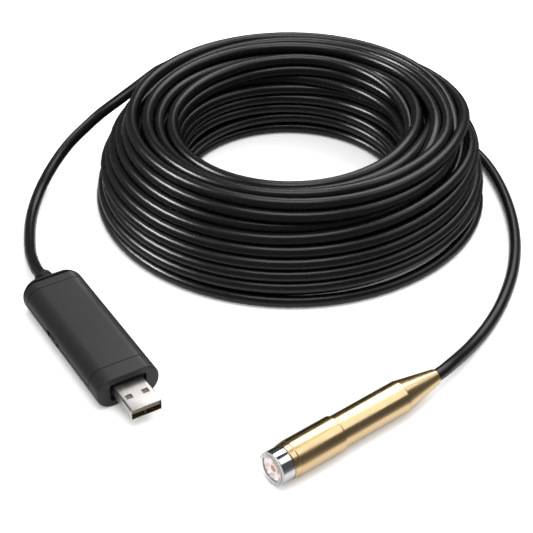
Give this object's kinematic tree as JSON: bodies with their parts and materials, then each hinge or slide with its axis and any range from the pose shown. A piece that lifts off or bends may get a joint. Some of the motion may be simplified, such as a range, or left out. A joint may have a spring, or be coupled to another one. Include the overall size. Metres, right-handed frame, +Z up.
{
  "type": "usb inspection camera",
  "caption": "Tubular brass inspection camera head on a long coiled cable that ends in a USB plug housing, laid out flat on one surface.",
  "frame": {"origin": "on the surface that everything lies on, under the middle of the camera head", "axes": "+X along the camera head's axis towards its window, +Z up from the surface"},
  "size_m": [0.2254, 0.222, 0.0409],
  "materials": {
    "brass": "polished turned brass",
    "chrome": "bright chrome plate",
    "clear_acrylic": "clear moulded window",
    "seal_rubber": "matte black rubber",
    "boot_rubber": "satin black soft plastic",
    "cable_pvc": "glossy black jacket",
    "silvered": "vacuum-silvered plastic",
    "led_wax": "pale yellow phosphor",
    "board_green": "green solder mask",
    "chip_black": "matte black resin",
    "copper": "bare copper alloy",
    "lens_glass": "dark coated glass",
    "flex_amber": "amber film",
    "can_aluminium": "drawn can, satin",
    "housing_plastic": "fine-grained moulded plastic",
    "wire_red": "satin insulation",
    "wire_white": "satin insulation",
    "wire_green": "satin insulation",
    "wire_black": "satin insulation",
    "plug_steel": "nickel-plated pressed steel",
    "tongue_plastic": "tan moulded plastic",
    "gold_plate": "gold-plated strip"
  },
  "bodies": {
    "device": {"head_barrel": "brass", "barrel_seal": "seal_rubber", "tail_cone": "brass", "cable_bush": "seal_rubber", "cable_end_head": "cable_pvc", "crimp_sleeve": "can_aluminium", "reflector_cup": "silvered", "led_board": "board_green", "led_1": "led_wax", "led_2": "led_wax", "led_3": "led_wax", "led_4": "led_wax", "module_tube": "chip_black", "lens_barrel": "copper", "lens_element": "lens_glass", "lens_holder": "chip_black", "image_sensor": "lens_glass", "sensor_board": "board_green", "head_ribbon": "flex_amber", "cable_lead_head": "cable_pvc", "cable_coil": "cable_pvc", "cable_lead_housing": "cable_pvc", "housing_shell_upper": "housing_plastic", "housing_shell_lower": "housing_plastic", "front_end_cap": "housing_plastic", "rear_end_cap": "housing_plastic", "strain_relief": "boot_rubber", "cable_end_housing": "cable_pvc", "wire_red": "wire_red", "wire_white": "wire_white", "wire_green": "wire_green", "wire_black": "wire_black", "circuit_board": "board_green", "capture_chip": "chip_black", "memory_chip": "chip_black", "crystal_can": "can_aluminium", "capacitor_1": "can_aluminium", "capacitor_2": "can_aluminium", "dimmer_pot": "chip_black", "usb_shell": "plug_steel", "usb_tongue": "tongue_plastic", "usb_contact_1": "gold_plate", "usb_contact_2": "gold_plate", "usb_contact_3": "gold_plate", "usb_contact_4": "gold_plate"},
    "washer_body": {"sealing_washer": "seal_rubber"},
    "front_sleeve": {"front_collar": "brass", "bezel_ring": "chrome", "lens_window": "clear_acrylic"},
    "dimmer": {"dimmer_wheel": "housing_plastic"}
  },
  "joints": [
    {"name": "collar_travel", "type": "slide", "parent": "device", "child": "washer_body", "axis": [1, 0, 0], "range_m": [0, 0.005]},
    {"name": "collar_turn", "type": "hinge", "parent": "washer_body", "child": "front_sleeve", "pos_m": [0.02, 0, 0.0067], "axis": [1, 0, 0], "range_deg": [0, 1800]},
    {"name": "dimmer_turn", "type": "hinge", "parent": "device", "child": "dimmer", "pos_m": [0.0522, -0.10219, 0.0063], "axis": [0, 0, 1], "range_deg": [0, 270]}
  ],
  "couplings": [
    {"joint": "collar_travel", "follows": "collar_turn", "m_per_rad": 0.000159}
  ]
}
